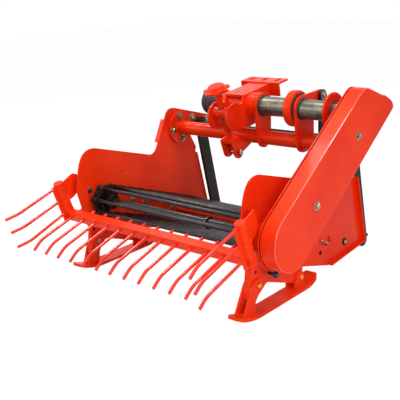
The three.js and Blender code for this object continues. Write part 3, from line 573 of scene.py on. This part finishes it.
dark_steel = oily_steel()
rear_low, rear_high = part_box("rear_drive_shaft")
idler_low, idler_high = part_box("front_idler")
rear_axis = Vector((0, (rear_low.y + rear_high.y) / 2, (rear_low.z + rear_high.z) / 2))
idler_axis = Vector((0, (idler_low.y + idler_high.y) / 2, (idler_low.z + idler_high.z) / 2))
CHAIN_IN, CHAIN_OUT = 0.262, 0.284   # the faces of the web's chains, from the middle


def on_axis(axis, across):
    """The point of a cross shaft's axis that far to the right of the machine's middle."""
    return Vector((machine_middle + across, axis.y, axis.z))


def web_sprocket(work, across, thickness, phase, teeth=6, points=96):
    """A plate sprocket: its teeth rise between the web's rods, which lie in the dips."""
    root, rise, chamfer = 0.0335, 0.0125, 0.0008
    corners = []
    for k in range(points):
        angle = math.tau * k / points
        wave = 0.5 - 0.5 * math.cos(teeth * (angle - phase))
        corners.append((root + rise * wave ** 0.8, angle))
    rings = []
    for inset_by, along in ((chamfer, 0), (0, chamfer), (0, thickness - chamfer), (chamfer, thickness)):
        rings.append([work.verts.new(Vector((across + along,
                                             rear_axis.y + (r - inset_by) * math.cos(a),
                                             rear_axis.z + (r - inset_by) * math.sin(a))))
                      for r, a in corners])
    skinned(work, rings)


FIRST_ROD = math.radians(180 - 15)   # the rearmost rod, round the rear shaft from straight ahead
HUB_AT, SPROCKET_AT, STOP_RING_AT, ROLLER_AT = 0.236, 0.273, 0.123, 0.234
shaft = bmesh.new()
rear_length, rear_radius = rear_high.x - rear_low.x, 0.0125
turn(shaft, [(0, 0), (rear_radius, 0), (rear_radius, rear_length), (0, rear_length)],
     Vector((rear_low.x, rear_axis.y, rear_axis.z)), RIGHT, 40)
for side in (-1, 1):
    inner = on_axis(rear_axis, side * HUB_AT)
    turn(shaft, [(0.0124, 0), (0.0200, 0), (0.0215, 0.0015), (0.0215, 0.0235), (0.0124, 0.0245)],
         inner, Vector((side, 0, 0)), 40, closed=True)
    web_sprocket(shaft, machine_middle + side * SPROCKET_AT - 0.005, 0.010, FIRST_ROD)
    for k in range(4):
        angle = math.tau * (k + 0.4) / 4
        from_axis = Vector((-side * 0.0002, 0.0165 * math.cos(angle), 0.0165 * math.sin(angle)))
        hex_bolt(shaft, inner + from_axis, Vector((-side, 0, 0)), 0.0058)
turn(shaft, [(0.0124, 0), (0.0165, 0), (0.0172, 0.0010), (0.0172, 0.0090), (0.0124, 0.0100)],
     on_axis(rear_axis, STOP_RING_AT), RIGHT, 40, closed=True)
piece_from(shaft, "rear_shaft_turned", dark_steel, "dark_steel", "frame", "rear_drive_shaft")

idler = bmesh.new()
idler_length, idler_radius = idler_high.x - idler_low.x, 0.0100
turn(idler, [(0, 0), (idler_radius, 0), (idler_radius, idler_length), (0, idler_length)],
     Vector((idler_low.x, idler_axis.y, idler_axis.z)), RIGHT, 32)
for side in (-1, 1):
    turn(idler, [(0.0099, 0), (0.0295, 0), (0.0318, 0.0022), (0.0318, 0.0238), (0.0295, 0.0260),
                 (0.0099, 0.0260)],
         on_axis(idler_axis, side * ROLLER_AT), Vector((side, 0, 0)), 48, closed=True)
piece_from(idler, "idler_turned", dark_steel, "dark_steel", "frame", "front_idler")

for hand in ("left", "right"):
    cut_piece(f"rear_bearing_{hand}", f"bearing_{hand}", 0.0012, steps=2)

# ---------------------------------------------------------------------------------------
# Rod web: 11 mm rods at every joint of two roller chains, one loop round the rear sprockets
# and the idler. Each chain has waisted link plates, outside and inside by turns, over round
# bushes. All of it is bare, oiled and soiled.
WEB_REAR, WEB_FRONT, ROD_RADIUS = 0.041, 0.038, 0.0055
span = idler_axis - rear_axis
slope = math.atan2(span.z, span.y)
lean = math.asin((WEB_REAR - WEB_FRONT) / span.length)
straight = math.sqrt(span.length ** 2 - (WEB_REAR - WEB_FRONT) ** 2)
front_arc = WEB_FRONT * (math.pi - 2 * lean)
rear_arc = WEB_REAR * (math.pi + 2 * lean)
web_length = 2 * straight + front_arc + rear_arc
ROD_COUNT, FIRST_SHORT_BY = 26, 0.64  # the first rod stops short of the rear arc's top, in pitches


def on_web(distance):
    """The (y, z) place of the rod line, measured along the loop from the top of the rear arc."""
    top, foot = slope + math.pi / 2 - lean, slope - math.pi / 2 + lean

    def at(axis, radius, angle):
        return Vector((0, axis.y + radius * math.cos(angle), axis.z + radius * math.sin(angle)))

    d = distance % web_length
    if d < straight:
        return at(rear_axis, WEB_REAR, top).lerp(at(idler_axis, WEB_FRONT, top), d / straight)
    d -= straight
    if d < front_arc:
        return at(idler_axis, WEB_FRONT, top - d / WEB_FRONT)
    d -= front_arc
    if d < straight:
        return at(idler_axis, WEB_FRONT, foot).lerp(at(rear_axis, WEB_REAR, foot), d / straight)
    return at(rear_axis, WEB_REAR, foot - (d - straight) / WEB_REAR)


joints_at = [on_web((i - FIRST_SHORT_BY) / ROD_COUNT * web_length) for i in range(ROD_COUNT)]
rods = bmesh.new()
rod_half = CHAIN_IN + 0.004          # each end is let into the chains
for joint in joints_at:
    turn(rods, [(0, 0), (ROD_RADIUS, 0), (ROD_RADIUS, 2 * rod_half), (0, 2 * rod_half)],
         Vector((machine_middle - rod_half, joint.y, joint.z)), RIGHT, 20)
piece_from(rods, "web_rods", dark_steel, "dark_steel", "frame", "conveyor_web")


def link_plate(work, a, b, across, thickness, radius, waist):
    """A waisted link plate between two joints, its long edges chamfered."""
    along = (b - a).normalized()
    over = Vector((0, -along.z, along.y))
    length = (b - a).length
    outline = []
    for k in range(9):
        angle = math.pi / 2 + math.pi * k / 8
        outline.append((radius * math.cos(angle), radius * math.sin(angle)))
    outline += [(length * 0.32, -waist), (length * 0.68, -waist)]
    for k in range(9):
        angle = -math.pi / 2 + math.pi * k / 8
        outline.append((length + radius * math.cos(angle), radius * math.sin(angle)))
    outline += [(length * 0.68, waist), (length * 0.32, waist)]
    rings = []
    for shrink, x in ((0.92, 0), (1.0, 0.0006), (1.0, thickness - 0.0006), (0.92, thickness)):
        rings.append([work.verts.new(Vector((across + x, 0, 0)) + Vector((0, a.y, a.z))
                                     + along * (length / 2 + (p - length / 2) * (1 - (1 - shrink) * 0.3))
                                     + over * q * shrink) for p, q in outline])
    skinned(work, rings)


PLATE = 0.0030
for side, hand in ((-1, "left"), (1, "right")):
    chain = bmesh.new()
    for i, joint in enumerate(joints_at):
        after = joints_at[(i + 1) % ROD_COUNT]
        outside = i % 2
        inner_x = CHAIN_IN + (0 if outside else 0.0034)
        outer_x = CHAIN_OUT - (0.0032 if outside else 0.0066)
        for x in (inner_x, outer_x):
            low_x = machine_middle + (x if side > 0 else -x - PLATE)
            link_plate(chain, joint, after, low_x, PLATE, 0.0092, 0.0062)
        # the roller between the plates, and the pin's riveted ends
        for start, stop, radius in ((CHAIN_IN + PLATE, CHAIN_OUT - PLATE, 0.0076),
                                    (CHAIN_IN - 0.0016, CHAIN_OUT, 0.0048)):
            x = machine_middle + (start if side > 0 else -stop)
            width, edge = stop - start, 0.0006
            turn(chain, [(0, 0), (radius - edge, 0), (radius, edge), (radius, width - edge),
                         (radius - edge, width), (0, width)],
                 Vector((x, joint.y, joint.z)), RIGHT, 18)
    piece_from(chain, f"web_chain_{hand}", dark_steel, "dark_steel", "frame")

# ---------------------------------------------------------------------------------------
# Blade and arms: forged bars and a pointed share blade in satin black paint, hung on a
# cross rod behind the hitch, with the stay link up to the right-hand hanger.
black_paint = enamel("satin black paint", (0.022, 0.019, 0.018), (0.012, 0.010, 0.010), 0.40, 0.15)
for hand in ("left", "right"):
    cut_piece(f"blade_arm_{hand}", f"arm_{hand}", 0.0014, black_paint, "black_paint")
cut_piece("digging_blade", "blade_forged", 0.0010, black_paint, "black_paint")
cut_piece("stay_link", "stay_bar", 0.0010, black_paint, "black_paint")
rod_low, rod_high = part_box("blade_cross_rod")
rod = bmesh.new()
rod_length = rod_high.x - rod_low.x
turn(rod, [(0, 0), (0.0062, 0), (0.0070, 0.0008), (0.0070, rod_length - 0.0008), (0.0062, rod_length),
           (0, rod_length)],
     Vector((rod_low.x, (rod_low.y + rod_high.y) / 2, (rod_low.z + rod_high.z) / 2)), RIGHT, 32)
piece_from(rod, "cross_rod_turned", black_paint, "black_paint", "frame", "blade_cross_rod")

ROD_AHEAD, ROD_UP, STAY_UP = 94, 342, 464
arm_bolts, stay_bolt = bmesh.new(), bmesh.new()
hex_bolt(stay_bolt, spot(196.1, ROD_AHEAD, STAY_UP), RIGHT, 0.015)
for side in (-1, 1):
    hex_bolt(arm_bolts, spot(side * 284.0, ROD_AHEAD, ROD_UP), Vector((-side, 0, 0)), 0.015)
piece_from(arm_bolts, "arm_bolts", black_paint, "black_paint", "frame")
piece_from(stay_bolt, "stay_bolt", pale_zinc, "zinc_plate", "frame")

# ---------------------------------------------------------------------------------------
# Tine rack: a 26 mm square tube with bent 8 mm tines through it, and a post at each end
# with three more on a flat strip. A weld band closes the joint half-way up each post. It
# all leans forward 17 degrees in brackets bent from plate.
RACK = Matrix.Translation(spot(0, -450, 166)) @ Matrix.Rotation(math.radians(17), 4, "X")
TINE_BEND, TINE_RADIUS = math.radians(22), 0.0042


def rack_spot(across, ahead, up):
    """A place in the rack's own leaning frame, in millimetres from the middle of its tube."""
    return RACK @ Vector((across / 1000, ahead / 1000, up / 1000))


def bent_tine(work, start, bend, tip):
    """A round tine eased through its bend, with blunt, slightly rounded ends."""
    ease = 0.014
    into, away = (bend - start).normalized(), (tip - bend).normalized()
    a, b = bend - into * ease, bend + away * ease
    path = [start, start + into * 0.0006, a]
    path += [a.lerp(bend, t).lerp(bend.lerp(b, t), t) for t in (0.2, 0.4, 0.6, 0.8)]
    path += [b, tip - away * 0.0010, tip]
    run_along(work, path, [TINE_RADIUS * 0.8] + [TINE_RADIUS] * (len(path) - 2) + [TINE_RADIUS * 0.72], 14)


rack = bmesh.new()
half_bar, half_length, corner_radius, outline = 13.0, 347, 2.6, []
for sign_y, sign_z, quarter in ((1, 1, 0), (-1, 1, 1), (-1, -1, 2), (1, -1, 3)):
    for k in range(5):
        angle = math.pi / 2 * (quarter + k / 4)
        outline.append((sign_y * (half_bar - corner_radius) + corner_radius * math.cos(angle),
                        sign_z * (half_bar - corner_radius) + corner_radius * math.sin(angle)))
skinned(rack, [[rack.verts.new(rack_spot(x, y * shrink, z * shrink)) for y, z in outline]
               for x, shrink in ((-half_length, 0.97), (0.6 - half_length, 1),
                                 (half_length - 0.6, 1), (half_length, 0.97))])
piece_from(rack, "rack_bar", red_enamel, "red_paint", "frame", "tine_rack")
tines = bmesh.new()
TINE_COUNT, TINE_PITCH, BEND_AT, TIP = 12, 52.4, -131, 37
for i in range(TINE_COUNT):
    across = (i - TINE_COUNT / 2) * TINE_PITCH
    bent_tine(tines, rack_spot(across, 35, 0), rack_spot(across, BEND_AT, 0),
              rack_spot(across, BEND_AT - TIP * math.cos(TINE_BEND), -TIP * math.sin(TINE_BEND)))

POST = 334                           # either side of the middle
upright = RACK.to_3x3() @ UP
for side, hand in ((-1, "left"), (1, "right")):
    across = side * POST
    post = bmesh.new()
    turn(post, [(0, 0.0133), (0.0148, 0.0133), (0.0157, 0.0142), (0.0157, 0.0520), (0.0146, 0.0535),
                (0.0143, 0.0610), (0.0143, 0.1070), (0.0135, 0.1080), (0, 0.1080)],
         rack_spot(across, 0, 0), upright, 44)
    strip = [rack_spot(across + x, y, z) for z in (-12.6, 103.5) for x, y in
             ((-2.5, -25.5), (2.5, -25.5), (2.5, -13.9), (-2.5, -13.9))]
    corners = [post.verts.new(p) for p in strip]
    for loop in ((0, 1, 2, 3), (4, 5, 6, 7), (0, 1, 5, 4), (1, 2, 6, 5), (2, 3, 7, 6), (3, 0, 4, 7)):
        post.faces.new([corners[k] for k in loop])
    # the right-hand tips turn down, the left-hand ones turn outward
    for height, sag in ((13, 6), (55, 0), (98, 0)):
        bend_at, reach, low = (-163.7, 32, 0) if side > 0 else (-152.7, 40, sag)
        back_by, turned_by = reach * math.cos(TINE_BEND), reach * math.sin(TINE_BEND)
        outward, down = (0, turned_by) if side > 0 else (-turned_by, low)
        bent_tine(tines, rack_spot(across, -22, height), rack_spot(across, bend_at, height - low),
                  rack_spot(across + outward, bend_at - back_by, height - down))
    for turns in range(3):
        weld_bead(post, hoop(rack_spot(across, 0, 50 + 2.6 * turns), upright, 0.0143), 0.0021, closed=True)
    weld_bead(post, hoop(rack_spot(across, 0, 14.2), upright, 0.0152, 28), 0.0022, closed=True)
    piece_from(post, f"tine_post_{hand}_welded", red_enamel, "red_paint", "frame", f"tine_post_{hand}")
    cut_piece(f"post_bracket_{hand}", f"bracket_{hand}", 0.0012)
dipped_enamel = enamel("dipped enamel", (0.84, 0.026, 0.006), (0.72, 0.016, 0.004), 0.26, 0.30)
dipped_enamel.node_tree.nodes["Principled BSDF"].inputs["Coat IOR"].default_value = 1.8
dipped_enamel.node_tree.nodes["Bump"].inputs["Strength"].default_value = 0.01
piece_from(tines, "bent_tines", dipped_enamel, "red_paint", "frame")

# ---------------------------------------------------------------------------------------
# Skids: a sprung-looking sole plate, turned up at both ends, with two cheeks that clasp the
# plate bracket under each panel. Bolts with a bright yellow zinc film hold it at its height.

# the outer cheek's outer face, the inner cheek's inner face and the bracket's open face
SKID_FACES = {"right": (316.6, 284.0, 310.3), "left": (306.0, 281.4, 293.7)}
skid_bolts, skid_nuts = bmesh.new(), bmesh.new()
skid_welds, skid_holes = bmesh.new(), bmesh.new()
for side, hand in ((-1, "left"), (1, "right")):
    for node in ("skid_bracket", "skid"):
        cut_piece(f"{node}_{hand}", f"{node}_{hand}_cut", 0.0012)
    cheek_out, cheek_in, bracket_face = SKID_FACES[hand]
    for ahead, up in ((-398, 78), (-216, 35)):
        hex_bolt(skid_bolts, spot(side * cheek_out, ahead, up), Vector((side, 0, 0)), 0.0120, washer=False)
        hex_bolt(skid_nuts, spot(side * cheek_in, ahead, up), Vector((-side, 0, 0)), 0.0120, washer=False)
    punched_hole(skid_holes, spot(side * bracket_face, -400, 112), RIGHT, 0.0045)
    # a weld along the foot of each cheek
    for places, bead in (((-240, -228, -216, -202), 0.0028), ((-448, -438, -428, -418), 0.0024)):
        weld_bead(skid_welds, [spot(side * (cheek_out + 0.6), ahead, 9.0) for ahead in places], bead)
piece_from(skid_bolts, "skid_bolts", yellow_zinc, "zinc_plate", "frame")
piece_from(skid_nuts, "skid_nuts", pale_zinc, "zinc_plate", "frame")
piece_from(skid_welds, "skid_welds", red_enamel, "red_paint", "frame", crease=60)
piece_from(skid_holes, "skid_holes", shadow_black, "black_paint", "frame")

# ---------------------------------------------------------------------------------------
# Hitch: a box folded from plate that pivots on the drive tube, its top rubbed by handling,
# with a slotted angle welded across its front for the tractor's bolts.


def rubbed_enamel(middle, reach):
    """The red enamel worn to a grey smear about one place by boots and chains."""
    material = red_enamel.copy()
    material.name = "rubbed enamel"
    tree = material.node_tree
    shader = tree.nodes["Principled BSDF"]
    film_colour = shader.inputs["Base Color"].links[0].from_socket
    place = tree.nodes.new("ShaderNodeTexCoord").outputs["Object"]
    away = tree.nodes.new("ShaderNodeVectorMath")
    away.operation = "DISTANCE"
    away.inputs[1].default_value = middle
    tree.links.new(place, away.inputs[0])
    worn = tree.nodes.new("ShaderNodeMath")
    worn.operation = "MULTIPLY"
    tree.links.new(stretched(tree, away.outputs["Value"], 1.0, 0.0, reach * 0.4, reach), worn.inputs[0])
    tree.links.new(mottle(tree, place, 110.0, 6.0), worn.inputs[1])
    both = tree.nodes.new("ShaderNodeMix")
    both.data_type = "RGBA"
    tree.links.new(stretched(tree, worn.outputs["Value"], 0.0, 1.0, 0.30, 0.42), both.inputs["Factor"])
    tree.links.new(film_colour, both.inputs["A"])
    both.inputs["B"].default_value = (0.10, 0.075, 0.075, 1)
    tree.links.new(both.outputs["Result"], shader.inputs["Base Color"])
    return material


rubbed_red = rubbed_enamel(spot(-34, -14, 478), 0.020)
cut_piece("hitch_box", "hitch_box_folded", 0.0030, rubbed_red, body="hitch")
cut_piece("hitch_flange", "hitch_angle", 0.0016, body="hitch")

# ---------------------------------------------------------------------------------------
# Depth screw: a painted hand knob and sleeve over a threaded rod, captive in the trunnion
# between the box's cheeks. The thread draws the clevis up and down on the anchor arm's pin.
cut_piece("screw_trunnion", "trunnion_turned", 0.0012, body="screw")
cut_piece("screw_clevis", "clevis_folded", 0.0018, body="clevis")
cut_piece("screw_anchor_arm", "anchor_arm_cut", 0.0014)
cut_piece("clevis_pin", "clevis_pin_turned", 0.0008, pale_zinc, "zinc_plate", steps=2)
cut_piece("depth_screw", "depth_screw_turned", 0.0006, tube_zinc, "zinc_plate", "screw", steps=2)
cut_piece("handwheel", "hand_knob", 0.0030, body="screw")

# ---------------------------------------------------------------------------------------
# The studio: a white floor that keeps a soft shadow, a large soft lamp overhead and two
# low ones behind, three small ones that draw the shine along the case, the left panel and
# the tines, and the camera behind and to the right of the machine.


def white_floor():
    """Matt white that mostly glows to the camera, so it stays white and keeps a soft shadow."""
    material = bpy.data.materials.new("studio floor")
    material.use_nodes = True
    tree = material.node_tree
    shader = tree.nodes["Principled BSDF"]
    shader.inputs["Base Color"].default_value = (0.86, 0.86, 0.86, 1)
    shader.inputs["Roughness"].default_value = 0.9
    shader.inputs["Specular IOR Level"].default_value = 0.1
    glow = tree.nodes.new("ShaderNodeEmission")
    glow.inputs["Color"].default_value = (1, 1, 1, 1)
    glow.inputs["Strength"].default_value = 1.13
    path = tree.nodes.new("ShaderNodeLightPath")
    share = tree.nodes.new("ShaderNodeMath")
    share.operation = "MULTIPLY"
    share.inputs[1].default_value = 0.82
    tree.links.new(path.outputs["Is Camera Ray"], share.inputs[0])
    mix = tree.nodes.new("ShaderNodeMixShader")
    tree.links.new(share.outputs["Value"], mix.inputs["Fac"])
    tree.links.new(shader.outputs["BSDF"], mix.inputs[1])
    tree.links.new(glow.outputs["Emission"], mix.inputs[2])
    tree.links.new(mix.outputs["Shader"], tree.nodes["Material Output"].inputs["Surface"])
    return material


floor_mesh = bpy.data.meshes.new("floor")
floor_mesh.from_pydata([(-9, -9, 0), (9, -9, 0), (9, 9, 0), (-9, 9, 0)], [], [(0, 1, 2, 3)])
floor_mesh.materials.append(white_floor())
floor = bpy.data.objects.new("floor", floor_mesh)
scene.collection.objects.link(floor)
floor.location.z = -0.0005

world = bpy.data.worlds.new("studio air")
scene.world = world
world.use_nodes = True
sky = world.node_tree
background = sky.nodes["Background"]
background.inputs["Color"].default_value = (1, 1, 1, 1)
seen = sky.nodes.new("ShaderNodeLightPath")
level = sky.nodes.new("ShaderNodeMapRange")
level.inputs["To Min"].default_value = 0.32
level.inputs["To Max"].default_value = 1.0
mirrored = sky.nodes.new("ShaderNodeMath")
mirrored.operation = "MAXIMUM"
sky.links.new(seen.outputs["Is Glossy Ray"], mirrored.inputs[0])
sky.links.new(seen.outputs["Is Transmission Ray"], mirrored.inputs[1])
direct = sky.nodes.new("ShaderNodeMath")
direct.operation = "MAXIMUM"
sky.links.new(seen.outputs["Is Camera Ray"], direct.inputs[0])
sky.links.new(mirrored.outputs["Value"], direct.inputs[1])
sky.links.new(direct.outputs["Value"], level.inputs["Value"])
sky.links.new(level.outputs["Result"], background.inputs["Strength"])


def soft_lamp(name, place, aim, size, watts):
    """A soft box of that width and height at place, turned to face aim."""
    lamp = bpy.data.lights.new(name, "AREA")
    lamp.shape = "RECTANGLE"
    lamp.size, lamp.size_y = size
    lamp.energy = watts
    holder = bpy.data.objects.new(name, lamp)
    scene.collection.objects.link(holder)
    holder.location = place
    holder.rotation_euler = (Vector(aim) - Vector(place)).to_track_quat("-Z", "Y").to_euler()


soft_lamp("overhead", (0.3, -0.6, 2.6), (0, 0, 0.2), (2.4, 1.8), 22)
soft_lamp("rear left", (-2.2, -2.0, 1.5), (0, 0, 0.25), (1.6, 1.4), 22)
soft_lamp("rear right", (2.4, -1.2, 1.2), (0.2, 0, 0.25), (1.5, 1.3), 25)
soft_lamp("over the case", (1.75, 0.15, 2.3), (0.35, 0.1, 0.35), (0.5, 0.3), 6)
soft_lamp("over the left", (-1.65, 0.3, 2.2), (0, 0.1, 0.35), (0.5, 0.3), 13)
soft_lamp("over the tines", (0, 0.1, 2.1), (0, -0.35, 0.15), (1.5, 0.2), 17)

camera_data = bpy.data.cameras.new("camera")
camera_data.lens = 66.59
camera_data.sensor_width = 36.0
camera = bpy.data.objects.new("camera", camera_data)
scene.collection.objects.link(camera)
look_right = Vector((0.74852, 0.66050, -0.05874))
look_back = Vector((0.64577, -0.70596, 0.29087))
look_up = look_back.cross(look_right)
camera.matrix_world = Matrix.Translation(spot(1353.5, -1725.9, 816.9)) @ Matrix(
    (look_right, look_up, look_back)).transposed().to_4x4()
scene.camera = camera
scene.view_settings.view_transform = "Standard"
